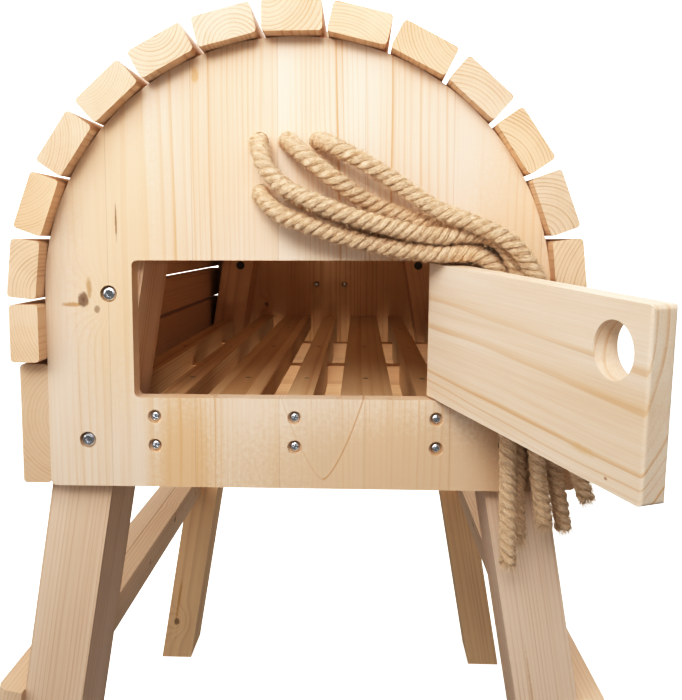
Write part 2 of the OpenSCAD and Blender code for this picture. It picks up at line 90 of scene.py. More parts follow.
# ---------------------------------------------------------------- node helpers
class Tree:
    """A small hand for building material nodes."""

    def __init__(self, name):
        self.mat = bpy.data.materials.new(name)
        self.mat.use_nodes = True
        self.nt = self.mat.node_tree
        self.nt.nodes.clear()
        out = self.nt.nodes.new("ShaderNodeOutputMaterial")
        self.bsdf = self.nt.nodes.new("ShaderNodeBsdfPrincipled")
        self.nt.links.new(self.bsdf.outputs[0], out.inputs[0])

    def put(self, socket, value):
        if isinstance(value, bpy.types.NodeSocket):
            self.nt.links.new(value, socket)
        else:
            socket.default_value = value

    def math(self, op, a, b=None, c=None, clamp=False):
        n = self.nt.nodes.new("ShaderNodeMath")
        n.operation = op
        n.use_clamp = clamp
        for i, v in enumerate((a, b, c)):
            if v is not None:
                self.put(n.inputs[i], v)
        return n.outputs[0]

    def vmath(self, op, a, b=None):
        n = self.nt.nodes.new("ShaderNodeVectorMath")
        n.operation = op
        self.put(n.inputs[0], a)
        if b is not None:
            self.put(n.inputs[1], b)
        return n.outputs["Value"] if op in ("DOT_PRODUCT", "LENGTH") else n.outputs[0]

    def coords(self, kind="Object"):
        return self.nt.nodes.new("ShaderNodeTexCoord").outputs[kind]

    def join(self, x, y, z):
        n = self.nt.nodes.new("ShaderNodeCombineXYZ")
        for i, v in enumerate((x, y, z)):
            self.put(n.inputs[i], v)
        return n.outputs[0]

    def split(self, v):
        n = self.nt.nodes.new("ShaderNodeSeparateXYZ")
        self.put(n.inputs[0], v)
        return n.outputs

    def noise(self, vec, scale=1.0, detail=2.0, rough=0.5):
        n = self.nt.nodes.new("ShaderNodeTexNoise")
        self.put(n.inputs["Vector"], vec)
        n.inputs["Scale"].default_value = scale
        n.inputs["Detail"].default_value = detail
        n.inputs["Roughness"].default_value = rough
        return n.outputs["Fac"]

    def ramp(self, fac, stops, smooth=True):
        n = self.nt.nodes.new("ShaderNodeValToRGB")
        n.color_ramp.interpolation = "EASE" if smooth else "LINEAR"
        els = n.color_ramp.elements
        while len(els) < len(stops):
            els.new(0.5)
        for e, (p, v) in zip(els, stops):
            e.position = p
            e.color = (v, v, v, 1) if isinstance(v, (int, float)) else (*v, 1)
        self.put(n.inputs[0], fac)
        return n.outputs[0]

    def mix(self, fac, a, b):
        n = self.nt.nodes.new("ShaderNodeMix")
        n.data_type = "RGBA"
        self.put(n.inputs["Factor"], fac)
        for s, v in ((n.inputs[6], a), (n.inputs[7], b)):
            self.put(s, (*v, 1) if isinstance(v, tuple) else v)
        return n.outputs[2]

    def bump(self, height, dist, strength):
        n = self.nt.nodes.new("ShaderNodeBump")
        n.inputs["Strength"].default_value = strength
        n.inputs["Distance"].default_value = dist
        self.put(n.inputs["Height"], height)
        return n.outputs[0]


def wood(name, origin, across, depth, along, light, dark, pith=(0.05, 0.08), ring=0.0034,
         contrast=0.5, strips=0.0, seed=0.0, orange=0.0, knots=(), marks=(), vees=(), rough=0.56,
         warp=0.006, thin=1.0, patchy=0.45):
    """Solid wood: rings round a pith line along the grain, so faces show grain and ends show rings.

    across, depth and along are the piece's own axes; pith is where its growth centre lies on the
    first two. ring is a year's width, warp how far the grain wanders, thin narrows the late wood,
    patchy lets it fade in places, strips is the width of glued strips.
    """
    t = Tree(name)
    p = t.vmath("SUBTRACT", t.coords(), tuple(origin))
    a = t.vmath("DOT_PRODUCT", p, tuple(across))
    b = t.vmath("DOT_PRODUCT", p, tuple(depth))
    l = t.vmath("DOT_PRODUCT", p, tuple(along))

    def stretched(ka, shift, kb, kl, turn=0.0):
        """The piece's coordinates, scaled one by one, as a place to look up noise."""
        return t.join(t.math("MULTIPLY_ADD", a, ka, shift), t.math("MULTIPLY", b, kb),
                      t.math("MULTIPLY_ADD", l, kl, turn))

    # a slow wander of the grain
    slow = t.math("SUBTRACT", t.noise(stretched(5.0, seed, 5.0, 1.3), 1.0, 3.0, 0.55), 0.5)
    fine = t.math("SUBTRACT", t.noise(stretched(40.0, seed, 40.0, 4.0), 1.0, 2.0), 0.5)
    wander = t.math("ADD", t.math("MULTIPLY", slow, warp * 2.4), t.math("MULTIPLY", fine, warp * 0.22))
    pa, pb = pith
    tone_shift = None
    glue = None
    if strips:
        cell = t.math("DIVIDE", t.math("ADD", a, 0.013), strips)
        idx = t.math("FLOOR", cell)
        wn = t.nt.nodes.new("ShaderNodeTexWhiteNoise")
        wn.noise_dimensions = "1D"
        t.put(wn.inputs["W"], t.math("ADD", idx, seed + 0.37))
        rnd = wn.outputs["Value"]
        # every glued strip has a pith of its own, sometimes on the other side
        a0 = t.math("MULTIPLY", t.math("SUBTRACT", cell, t.math("ADD", idx, 0.5)), strips)
        a0 = t.math("SUBTRACT", a0, t.math("MULTIPLY_ADD", rnd, 2 * pa, -pa))
        other = t.math("FRACT", t.math("MULTIPLY", rnd, 7.3))
        b0 = t.math("SUBTRACT", b, t.math("MULTIPLY_ADD", other, 0.6 * pb, 0.5 * pb))
        tone_shift = t.math("MULTIPLY_ADD", rnd, 0.34, -0.17)
        edge = t.math("ABSOLUTE", t.math("SUBTRACT", t.math("FRACT", cell), 0.5))
        glue = t.ramp(edge, [(0.0, 0.0), (0.4935, 0.0), (0.5, 1.0)], False)
    else:
        a0 = t.math("SUBTRACT", a, pa)
        b0 = t.math("SUBTRACT", b, pb)
    d = t.vmath("LENGTH", t.join(t.math("ADD", a0, wander), b0, 0.0))
    # grain swirls round knots
    knot_mask = None
    for ka, kl, kr, depth_c in knots:
        da = t.math("SUBTRACT", a, ka)
        dl = t.math("MULTIPLY", t.math("SUBTRACT", l, kl), 0.72)
        dist = t.vmath("LENGTH", t.join(da, dl, 0.0))
        swirl = t.math("POWER", t.math("DIVIDE", dist, kr * 2.6), 2.0)
        swirl = t.math("EXPONENT", t.math("MULTIPLY", swirl, -1.0))
        d = t.math("ADD", d, t.math("MULTIPLY", swirl, kr * 2.2))
        rim = t.math("ADD", dist, t.math("MULTIPLY", t.noise(p, 400.0, 2.0), kr * 0.5))
        m = t.ramp(t.math("DIVIDE", rim, kr * 2), [(0.0, depth_c), (0.42, depth_c * 0.8), (0.62, 0.0)])
        knot_mask = m if knot_mask is None else t.math("MAXIMUM", knot_mask, m)
    uneven = t.noise(t.join(t.math("MULTIPLY_ADD", d, 55.0, seed * 3), 0.0, 0.0), 1.0, 1.0)
    phase = t.math("ADD", t.math("DIVIDE", d, ring), t.math("MULTIPLY", uneven, 2.4))
    late = t.ramp(t.math("FRACT", phase),
                  [(0.0, 0.12), (0.12, 0.0), (0.55, 0.16), (0.86, 0.95), (0.93, 1.0), (1.0, 0.15)])
    year = t.noise(t.join(t.math("FLOOR", phase), seed, 0.0), 1.7, 0.0)
    year = t.math("MULTIPLY_ADD", year, 1.5, -0.05, clamp=True)
    late = t.math("POWER", t.math("MULTIPLY", late, year), thin)
    # fibres and pores
    fib = t.noise(stretched(800.0, 0.0, 800.0, 11.0, seed), 1.0, 3.0, 0.6)
    hair = t.noise(stretched(2600.0, 0.0, 2600.0, 55.0), 1.0, 2.0, 0.6)
    broad = t.noise(stretched(14.0, seed, 14.0, 1.6), 1.0, 3.0, 0.6)
    n = t.coords("Normal")
    end = t.math("ABSOLUTE", t.vmath("DOT_PRODUCT", n, tuple(along)))
    end = t.ramp(end, [(0.62, 0.0), (0.82, 1.0)])
    zone = t.ramp(t.noise(stretched(21.0, seed + 8.0, 9.0, 2.2), 1.0, 2.0), [(0.34, 0.0), (0.64, 1.0)])
    zone = t.math("MULTIPLY_ADD", zone, 1.3 * patchy, 1.0 - 0.8 * patchy)
    # how far each spot goes from the light colour to the dark one
    depth_f = t.math("MULTIPLY_ADD", end, 0.25 * contrast, contrast)
    depth_f = t.math("MULTIPLY", t.math("MULTIPLY", late, zone), depth_f)
    depth_f = t.math("ADD", depth_f, t.math("MULTIPLY_ADD", fib, 0.50, -0.25))
    depth_f = t.math("ADD", depth_f, t.math("MULTIPLY_ADD", broad, 1.3, -0.56))
    if tone_shift is not None:
        depth_f = t.math("ADD", depth_f, tone_shift)
    depth_f = t.math("ADD", depth_f, t.math("MULTIPLY", end, -0.04), clamp=True)
    col = t.mix(depth_f, light, dark)
    if orange:
        streak = t.noise(stretched(95.0, seed * 5, 20.0, 1.1), 1.0, 1.0)
        streak = t.ramp(streak, [(0.62, 0.0), (0.74, 1.0)])
        streak = t.math("MULTIPLY", streak, t.math("MULTIPLY_ADD", late, 0.8, 0.25))
        col = t.mix(t.math("MULTIPLY", streak, orange), col, (0.62, 0.32, 0.10))
    # listed marks: warmer zones, resin, dark streaks, cracks
    for ma, ml, wa, wl, tint, amount in marks:
        da = t.math("DIVIDE", t.math("SUBTRACT", t.math("ADD", a, t.math("MULTIPLY", wander, 0.5)), ma), wa)
        dl = t.math("DIVIDE", t.math("SUBTRACT", l, ml), wl)
        dist = t.vmath("LENGTH", t.join(da, dl, 0.0))
        dist = t.math("ADD", dist, t.math("MULTIPLY_ADD", t.noise(p, 260.0, 3.0, 0.7), 0.9, -0.45))
        m = t.ramp(dist, [(0.35, 1.0), (1.0, 0.0)])
        col = t.mix(t.math("MULTIPLY", m, amount), col, tint)
    # growth lines that close in a curve where the saw cut across them
    for va, vl, slope, bend, top, tint, amount in vees:
        da = t.math("SUBTRACT", t.math("ADD", a, t.math("MULTIPLY", wander, 0.35)), va)
        arm = t.math("SQRT", t.math("MULTIPLY_ADD", da, da, 1.6e-5))
        rise = t.math("MULTIPLY_ADD", arm, slope, -0.004 * slope)
        rise = t.math("MULTIPLY_ADD", t.math("MULTIPLY", arm, arm), bend, rise)
        f = t.math("SUBTRACT", t.math("SUBTRACT", l, vl), rise)
        steep = t.math("MULTIPLY_ADD", arm, 2.0 * bend, slope)
        near = t.math("DIVIDE", t.math("ABSOLUTE", f), t.math("MULTIPLY", steep, 0.0011))
        below = t.math("LESS_THAN", l, top)
        side = t.math("MULTIPLY_ADD", t.math("GREATER_THAN", da, 0.0), 0.65, 0.35)
        m = t.math("MULTIPLY", t.math("MULTIPLY", t.ramp(near, [(0.2, 1.0), (1.0, 0.0)]), below), side)
        inside = t.math("MULTIPLY", t.ramp(t.math("DIVIDE", f, 0.012), [(0.0, 0.0), (1.0, 1.0)]), below)
        col = t.mix(t.math("MULTIPLY", inside, 0.25), col, (0.72, 0.54, 0.39))
        col = t.mix(t.math("MULTIPLY", m, amount), col, tint)
    if knot_mask is not None:
        col = t.mix(knot_mask, col, (0.16, 0.075, 0.03))
    if glue is not None:
        col = t.mix(t.math("MULTIPLY", glue, 0.35), col, (0.42, 0.25, 0.12))
    t.put(t.bsdf.inputs["Base Color"], col)
    r = t.math("MULTIPLY_ADD", hair, 0.16, rough - 0.08)
    r = t.math("ADD", r, t.math("MULTIPLY", end, 0.14))
    t.put(t.bsdf.inputs["Roughness"], r)
    t.bsdf.inputs["Specular IOR Level"].default_value = 0.36
    h = t.math("ADD", t.math("MULTIPLY", late, 0.7), t.math("MULTIPLY", fib, 0.8))
    h = t.math("ADD", h, t.math("MULTIPLY", hair, 0.5))
    t.put(t.bsdf.inputs["Normal"], t.bump(h, 0.00016, 0.55))
    return t.mat


def metal(name, tint, rough, scratch=0.12):
    t = Tree(name)
    p = t.coords()
    n1 = t.noise(p, 900.0, 3.0, 0.6)
    n2 = t.noise(p, 120.0, 2.0)
    col = t.mix(n2, tint, tuple(c * 0.74 for c in tint))
    t.put(t.bsdf.inputs["Base Color"], col)
    t.bsdf.inputs["Metallic"].default_value = 1.0
    t.put(t.bsdf.inputs["Roughness"], t.math("MULTIPLY_ADD", n1, scratch, rough))
    t.put(t.bsdf.inputs["Normal"], t.bump(n1, 0.00004, 0.4))
    return t.mat


def jute(name, light, dark):
    """Twisted plant fibre; the yarn lines follow the strand's own twist through its UV map."""
    t = Tree(name)
    uv = t.coords("UV")
    u, v, _ = t.split(uv)
    p = t.coords()
    lay = t.math("SINE", t.math("MULTIPLY", t.math("SUBTRACT", t.math("MULTIPLY", u, 9.0), v), 6.28318))
    skew = t.math("MULTIPLY_ADD", v, -6.0, t.math("MULTIPLY", u, 60.0))
    fib = t.noise(t.join(skew, t.math("MULTIPLY", v, 5.0), 0.0), 1.0, 4.0, 0.65)
    lump = t.noise(p, 160.0, 3.0, 0.6)
    big = t.noise(p, 22.0, 2.0)
    round_strand = t.math("MULTIPLY_ADD", v, -3.0, t.math("MULTIPLY", u, 17.0))
    yarn = t.noise(t.join(round_strand, t.math("MULTIPLY", v, 7.0), 3.0), 1.0, 3.0, 0.7)
    yarn = t.ramp(yarn, [(0.40, 0.0), (0.56, 1.0)])
    f = t.math("MULTIPLY_ADD", fib, 0.7, t.math("MULTIPLY_ADD", yarn, 0.75, 0.0))
    f = t.math("ADD", f, t.math("MULTIPLY", t.math("SUBTRACT", lump, 0.5), 0.5))
    f = t.math("ADD", f, t.math("MULTIPLY", lay, 0.04), clamp=True)
    col = t.mix(f, dark, light)
    col = t.mix(t.math("MULTIPLY", big, 0.3), col, tuple(c * 0.8 for c in light))
    t.put(t.bsdf.inputs["Base Color"], col)
    t.bsdf.inputs["Roughness"].default_value = 0.86
    t.bsdf.inputs["Specular IOR Level"].default_value = 0.2
    t.bsdf.inputs["Sheen Weight"].default_value = 0.8
    t.bsdf.inputs["Sheen Roughness"].default_value = 0.4
    t.bsdf.inputs["Sheen Tint"].default_value = (1.0, 0.82, 0.62, 1)
    h = t.math("ADD", t.math("MULTIPLY", fib, 0.8), t.math("MULTIPLY", yarn, 0.7))
    t.put(t.bsdf.inputs["Normal"], t.bump(h, 0.0008, 0.8))
    return t.mat


def dress(node, mat, bevel=0.0):
    ob = nodes[node]
    if not ob.data.materials:
        ob.data.materials.append(mat)
    for i in range(len(ob.data.materials)):
        ob.data.materials[i] = mat
    if bevel:
        flat = ob.modifiers.new("flat", "DECIMATE")
        flat.decimate_type = "DISSOLVE"
        flat.angle_limit = math.radians(0.4)
        bev = ob.modifiers.new("bevel", "BEVEL")
        bev.width = bevel
        bev.segments = 2
        bev.limit_method = "ANGLE"
        bev.angle_limit = math.radians(38)
        bev.use_clamp_overlap = True
        bev.harden_normals = False
    return ob


# ---------------------------------------------------------------- tail ropes
ROUTES = {
    "tail_rope_1": [
        (20, 18, 290), (20, -2, 290), (24, -15, 288), (32, -24, 284), (43, -29, 278), (61, -30, 268),
        (83, -28, 254), (115, -31, 233), (148, -38, 220), (172, -39, 206), (190, -36, 182),
        (199, -35, 154), (203, -34, 126), (208, -32, 98), (216, -31, 66), (226, -30, 34), (236, -29, 4)],
    "tail_rope_2": [
        (-5, 18, 290), (-5, -2, 290), (-2, -15, 287), (5, -25, 281), (16, -31, 271), (37, -30, 255),
        (60, -21, 240), (84, -15, 230), (115, -12, 221), (148, -11, 218), (174, -10, 206),
        (190, -10, 186), (198, -10, 160), (201, -10, 126), (203, -10, 90), (208, -10, 52),
        (216, -11, 13), (223, -12, -26)],
    "tail_rope_3": [
        (-28, 18, 290), (-28, -1, 290), (-27, -14, 287), (-24, -25, 278), (-19, -32, 266),
        (-6, -37, 252), (15, -42, 241), (45, -40, 229), (85, -32, 218), (116, -25, 213),
        (148, -25, 214), (168, -25, 204), (182, -23, 176), (187, -24, 148), (190, -23, 112),
        (194, -21, 70), (199, -20, 25), (206, -20, -21)],
    "tail_rope_4": [
        (-27, 18, 248), (-27, -1, 248), (-25, -14, 245), (-18, -24, 238), (-6, -31, 229),
        (19, -33, 220), (51, -28, 210), (84, -24, 203), (115, -22, 199), (144, -22, 199),
        (161, -22, 188), (168, -22, 169), (169, -22, 140), (171, -21, 100), (174, -20, 60),
        (175, -20, 20), (176, -20, -18), (177, -20, -53)],
    "tail_rope_5": [
        (-2, 18, 248), (-2, -2, 248), (2, -15, 245), (10, -23, 241), (23, -27, 235), (50, -24, 225),
        (84, -13, 213), (115, -9, 207), (142, -8, 204), (163, -8, 195), (178, -9, 175), (184, -9, 145),
        (185, -9, 105), (186, -9, 68), (186, -9, 30), (185, -9, -4), (186, -9, -38)],
}
LAY = 0.0225  # metres of rope for one turn of its strands
STRAND_OFF, STRAND_R = 0.00365, 0.00338  # a strand's distance from the middle, and its radius
SIDES = 18  # faces round a strand
HAIRS, END_HAIRS = 9000, 330  # loose fibres along a rope, and at its cut end


def smooth_path(points, step):
    """Catmull-Rom through the points, then evenly spaced."""
    p = np.array([tuple(at(*q)) for q in points])
    ext = np.vstack([2 * p[0] - p[1], p, 2 * p[-1] - p[-2]])
    out = []
    for i in range(1, len(ext) - 2):
        a, b, c, d = ext[i - 1], ext[i], ext[i + 1], ext[i + 2]
        for k in range(24):
            s = k / 24
            out.append(0.5 * (2 * b + (c - a) * s + (2 * a - 5 * b + 4 * c - d) * s * s
                              + (3 * b - a - 3 * c + d) * s ** 3))
    out.append(p[-1])
    out = np.array(out)
    cum = np.concatenate([[0], np.cumsum(np.linalg.norm(np.diff(out, axis=0), axis=1))])
    n = int(round(cum[-1] / step))
    even = np.linspace(0, cum[-1], n + 1)
    return np.stack([np.interp(even, cum, out[:, k]) for k in range(3)], 1), even


def frames_along(c):
    """Tangents and a pair of normals carried along without twist."""
    tan = np.gradient(c, axis=0)
    tan /= np.linalg.norm(tan, axis=1)[:, None]
    n = np.zeros_like(c)
    ref = np.array([0.0, 0.0, 1.0]) if abs(tan[0][2]) < 0.8 else np.array([1.0, 0, 0])
    v = np.cross(ref, tan[0])
    for i in range(len(c)):
        v = v - tan[i] * np.dot(v, tan[i])
        v /= np.linalg.norm(v)
        n[i] = v
    return tan, n, np.cross(tan, n)


def new_mesh(name, verts, faces, uvs=None, smooth=True):
    me = bpy.data.meshes.new(name)
    me.from_pydata([tuple(v) for v in verts], [], faces)
    if uvs is not None:
        layer = me.uv_layers.new(name="UVMap")
        flat = np.array([uvs[vi] for f in faces for vi in f], dtype=np.float32).ravel()
        layer.data.foreach_set("uv", flat)
    if smooth:
        me.polygons.foreach_set("use_smooth", [True] * len(me.polygons))
    me.update()
    ob = bpy.data.objects.new(name, me)
    bpy.context.scene.collection.objects.link(ob)
    return ob


def rope(node, seed):
    c, s = smooth_path(ROUTES[node], 0.00125)
    tan, nrm, bi = frames_along(c)
    length = s[-1]
    verts, faces, uvs = [], [], []
    rng = np.random.RandomState(seed)
    left = np.clip((length - s) / 0.012, 0, 1)
    for k in range(3):
        th = -2 * np.pi * (s / LAY + k / 3 + 0.04 * np.sin(s * 60 + seed))
        loose = 1 + 0.30 * (1 - left) ** 2
        off = STRAND_OFF * loose * (1 + 0.025 * np.sin(s * 210 + k * 2 + seed))
        sc = c + off[:, None] * (np.cos(th)[:, None] * nrm + np.sin(th)[:, None] * bi)
        t2 = np.gradient(sc, axis=0)
        t2 /= np.linalg.norm(t2, axis=1)[:, None]
        # the strand's own frame points away from the rope's middle
        outw = sc - c
        outw -= t2 * np.sum(outw * t2, axis=1)[:, None]
        outw /= np.linalg.norm(outw, axis=1)[:, None]
        side = np.cross(t2, outw)
        base = len(verts)
        rs = STRAND_R * (0.74 + 0.26 * left) * (1 + 0.03 * np.sin(s * 330 + 5 * k))
        for i in range(len(c)):
            for j in range(SIDES):
                al = 2 * np.pi * (j / SIDES + 0.5)
                yarn = 1 + 0.06 * math.cos(5 * al - s[i] / 0.020 * 2 * np.pi)
                yarn += rng.uniform(-0.045, 0.045)
                r = rs[i] * yarn
                verts.append(sc[i] + r * (math.cos(al) * outw[i] + math.sin(al) * side[i]))
                uvs.append((j / SIDES, s[i] * 50 + k * 0.37))
        for i in range(len(c) - 1):
            for j in range(SIDES):
                a, b = base + i * SIDES + j, base + i * SIDES + (j + 1) % SIDES
                faces.append((a, b, b + SIDES, a + SIDES))
        faces.append(tuple(base + j for j in range(SIDES - 1, -1, -1)))
        faces.append(tuple(base + (len(c) - 1) * SIDES + j for j in range(SIDES)))
    ob = new_mesh(node + "_lay", verts, faces, uvs)
    ob.data.materials.append(JUTE)
    fuzz = rope_fuzz(node, c, s, tan, nrm, bi, seed)
    for o in (ob, fuzz):
        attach(o, "horse")
    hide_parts(node)
    return ob


def rope_fuzz(node, c, s, tan, nrm, bi, seed):
    """Loose fibres standing off the rope, and the frayed end."""
    rng = np.random.RandomState(seed + 50)
    verts, faces, uvs = [], [], []

    def hair(p, d, curl, length, w):
        uvs.extend([(rng.rand(), 5 * rng.rand())] * 8)
        d = d / np.linalg.norm(d)
        sidev = np.cross(d, curl)
        sidev /= np.linalg.norm(sidev) + 1e-9
        base = len(verts)
        q = p.copy()
        for k in range(4):
            ww = w * (1 - 0.28 * k)
            verts.append(q + sidev * ww / 2)
            verts.append(q - sidev * ww / 2)
            d = d + curl * 0.42
            d /= np.linalg.norm(d)
            q = q + d * length / 3
        for k in range(3):
            a = base + 2 * k
            faces.append((a, a + 1, a + 3, a + 2))

    first = int(0.024 / (s[1] - s[0]))  # none inside the board
    for _ in range(HAIRS):
        i = rng.randint(first, len(c))
        ph = rng.uniform(0, 2 * np.pi)
        rad = math.cos(ph) * nrm[i] + math.sin(ph) * bi[i]
        p = c[i] + rad * rng.uniform(0.0050, 0.0067)
        sgn = 1 if rng.rand() < 0.6 else -1
        d = rad * rng.uniform(0.15, 1.20) + sgn * tan[i] + np.cross(rad, tan[i]) * rng.uniform(-0.6, 0.9)
        curl = rng.normal(0, 1, 3)
        hair(p, d, curl * 0.5, rng.uniform(0.0018, 0.0060), rng.uniform(0.00028, 0.00052))
    for _ in range(END_HAIRS):
        ph = rng.uniform(0, 2 * np.pi)
        rr = math.sqrt(rng.rand()) * 0.0062
        rad = math.cos(ph) * nrm[-1] + math.sin(ph) * bi[-1]
        p = c[-1] - tan[-1] * rng.uniform(0.0, 0.005) + rad * rr
        d = tan[-1] + rad * rng.uniform(-0.15, 0.40)
        hair(p, d, rng.normal(0, 1, 3) * 0.35, rng.uniform(0.004, 0.0115), rng.uniform(0.00022, 0.00042))
    ob = new_mesh(node + "_fuzz", verts, faces, uvs)
    ob.data.materials.append(FUZZ)
    return ob


JUTE = jute("jute_strand", (1.0, 0.78, 0.57), (0.64, 0.40, 0.21))
FUZZ = jute("jute_fuzz", (1.0, 0.80, 0.58), (0.42, 0.25, 0.12))
for i in range(1, 6):
    rope("tail_rope_%d" % i, 11 * i)

# ---------------------------------------------------------------- wood
X, Y, Z = Vector((1, 0, 0)), Vector((0, 1, 0)), Vector((0, 0, 1))
PALE = (0.84, 0.665, 0.505)
WARM = (0.67, 0.435, 0.26)
# painted shade: SKIRT, the light colour of the lowest side slats, is darker and warmer than PALE for the
# less light that reaches them
SKIRT = (0.76, 0.57, 0.41)
rnd = random.Random(7)


def tint(c, k, warm=0.0):
    return (min(1, c[0] * k), min(1, c[1] * k * (1 - 0.5 * warm)), min(1, c[2] * k * (1 - warm)))


rear = wood(
    "wood_rear_board", at(0, 0, 0), X, Y, Z, (0.89, 0.74, 0.605), (0.76, 0.49, 0.27),
    pith=(0.16, 0.12), ring=0.0036, contrast=0.42, strips=0.0715, seed=3.0, orange=0.55,
    warp=0.011, thin=1.2, patchy=0.9,
    vees=[(0.0235, 0.008, 1.2, 28.0, 0.082, (0.60, 0.33, 0.15), 0.65)],
    knots=[(-0.1775, 0.160, 0.0055, 0.9), (-0.166, 0.152, 0.0030, 0.6)],
    # the two wide marks at l = 0.010 make the board darker and warmer towards its bottom edge
    marks=[(-0.150, 0.220, 0.055, 0.200, (0.84, 0.60, 0.37), 0.50),
           (-0.095, 0.010, 0.036, 0.100, (0.76, 0.48, 0.25), 0.60),
           (0.175, 0.150, 0.045, 0.200, (0.84, 0.60, 0.38), 0.50),
           (0.090, 0.010, 0.200, 0.080, (0.74, 0.52, 0.335), 0.70),
           (-0.148, 0.225, 0.0012, 0.020, (0.30, 0.17, 0.08), 0.8),
           (-0.080, 0.343, 0.004, 0.009, (0.72, 0.42, 0.16), 0.6),
           (-0.187, 0.156, 0.012, 0.0026, (0.55, 0.30, 0.12), 0.7),
           (-0.172, 0.170, 0.003, 0.012, (0.50, 0.28, 0.11), 0.6)])
# painted shade: the front board, seen from inside the barrel, gets warmer, darker colours than the rear
# board to stand in for the dim, warm light inside
front = wood("wood_front_board", at(0, 850, 0), X, Y, Z, (0.86, 0.62, 0.38), (0.66, 0.40, 0.18),
             pith=(0.13, 0.09), ring=0.0060, contrast=0.75, strips=0.068, seed=9.0, orange=0.35,
             patchy=0.8,
             knots=[(0.09, 0.24, 0.006, 0.8), (-0.12, 0.09, 0.004, 0.7)])
dress("rear_board", rear, 0.0009)
dress("front_board", front, 0.0009)

# the back: battens 1 to 17 from left to right, each with its own tree
SLAT_STEP = 14  # degrees between the slats of the round top
SLAT_R = 222  # mm from the round top's centre to a slat's middle
ROUND_Z = 163  # mm, the round top's centre
LOW_SLATS = {7: 133, 8: 53}  # mm, the heights of the two upright slats on each side
for i in range(1, 18):
    k = i - 9
    n = abs(k)
    ang = math.radians(SLAT_STEP * k if n not in LOW_SLATS else math.copysign(90, k))
    rad = Vector((math.sin(ang), 0, math.cos(ang)))
    tng = Vector((math.cos(ang), 0, -math.sin(ang)))
    mid = at(0, 0, ROUND_Z) + rad * SLAT_R / 1000
    if n in LOW_SLATS:
        mid = at(math.copysign(SLAT_R, k), 0, LOW_SLATS[n])
    far = rnd.uniform(0.018, 0.07)
    side = rnd.choice((-1, 1))
    light = tint(PALE if n < 8 else SKIRT, rnd.uniform(1.0, 1.10), rnd.uniform(0.0, 0.24))
    dark = tint(WARM, rnd.uniform(0.9, 1.1), rnd.uniform(0, 0.1))
    look = dict(pith=(rnd.uniform(-0.03, 0.03), side * far), ring=rnd.uniform(0.0022, 0.0034),
                contrast=rnd.uniform(0.5, 0.8), seed=rnd.uniform(0, 50), orange=rnd.uniform(0, 0.5))
    if rnd.random() < 0.6:
        look["knots"] = [(rnd.uniform(-0.015, 0.015), rnd.uniform(0.2, 0.7), rnd.uniform(0.003, 0.006), 0.8)]
    dress("back_slat_%d" % i, wood("wood_slat_%02d" % i, mid, tng, rad, Y, light, dark, **look), 0.0008)

# legs and foot rests share the legs' splay
SPLAY = math.atan(0.167)
LEG_X, LEG_Y = 188, {"rear": 62, "front": 806}  # mm, the legs' middles at the barrel's underside
STEP_X, STEP_Z = 250, -220  # mm, the foot rests' middle
# painted light: the front legs' light colour is warmer and more orange than the rear legs' to stand in for
# warm bounced light on their shaded side
LEG_LIGHT = {"rear": (0.91, 0.715, 0.56), "front": (0.88, 0.63, 0.40)}
LEG_LOOK = {
    ("rear", "left"): dict(pith=(0.11, 0.02), ring=0.0036, contrast=0.55, orange=0.2, seed=4.0),
    ("rear", "right"): dict(pith=(-0.07, -0.05), ring=0.0038, contrast=0.7, orange=0.8, seed=17.0,
                            marks=[(-0.012, -0.22, 0.0016, 0.10, (0.60, 0.36, 0.17), 0.5)]),
    ("front", "left"): dict(pith=(0.02, 0.055), ring=0.0046, contrast=0.6, orange=0.4, seed=23.0,
                            knots=[(-0.010, -0.50, 0.006, 0.75)],
                            marks=[(-0.012, -0.46, 0.003, 0.06, (0.62, 0.33, 0.12), 0.7)]),
    ("front", "right"): dict(pith=(-0.05, 0.04), ring=0.0040, contrast=0.5, orange=0.3, seed=31.0),
}
for sgn, side in ((-1, "left"), (1, "right")):
    up = Vector((-sgn * math.sin(SPLAY), 0, math.cos(SPLAY)))
    across = Vector((math.cos(SPLAY), 0, sgn * math.sin(SPLAY)))
    for end, y in LEG_Y.items():
        m = wood("wood_leg_%s_%s" % (end, side), at(sgn * LEG_X, y, 0), across, Y, up,
                 LEG_LIGHT[end], tint(WARM, 1.02), **LEG_LOOK[(end, side)])
        dress("leg_%s_%s" % (end, side), m, 0.0012)
    for j, kind in enumerate(("outer", "inner")):
        m = wood("wood_step_%s_%s" % (kind, side), at(sgn * STEP_X, 0, STEP_Z), up, across, Y,
                 tint(PALE, 0.99, 0.05), tint(WARM, 1.0), pith=(0.01 - 0.03 * j, 0.05), ring=0.0035,
                 contrast=0.6, seed=41.0 + 3 * j + sgn, orange=0.4,
                 knots=[(0.008, 0.33 + 0.2 * j, 0.005, 0.8)])
        dress("step_%s_%s" % (kind, side), m, 0.0010)

# painted shade: the barrel's floor wood is warmer and darker than PALE and WARM to stand in for the dim,
# warm light inside; BATTEN_LIGHT is lighter as painted light from below on the battens
FLOOR_LIGHT, BATTEN_LIGHT, FLOOR_DARK = (0.80, 0.61, 0.40), (0.95, 0.72, 0.50), (0.60, 0.37, 0.18)


def middle(node):
    lo, hi = (Vector(v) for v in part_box(node))
    return (lo + hi) / 2


for name in ("floor_rail_left", "floor_rail_middle", "floor_rail_right", "side_rail_left",
             "side_rail_right", "floor_slat_left", "floor_slat_right"):
    m = wood("wood_" + name, middle(name), X, Z, Y, tint(FLOOR_LIGHT, rnd.uniform(0.95, 1.08)), FLOOR_DARK,
             pith=(rnd.uniform(-0.03, 0.03), rnd.choice((-0.05, 0.05))), ring=0.0036, contrast=0.6,
             seed=rnd.uniform(0, 40), orange=0.3)
    dress(name, m, 0.0008)
for j, name in enumerate(("floor_batten_rear", "floor_batten_middle", "floor_batten_front")):
    m = wood("wood_" + name, middle(name), Y, Z, X, BATTEN_LIGHT, FLOOR_DARK, pith=(0.05, 0.012),
             ring=0.0050, contrast=0.45, seed=60.0 + j, orange=0.3)
    dress(name, m, 0.0008)

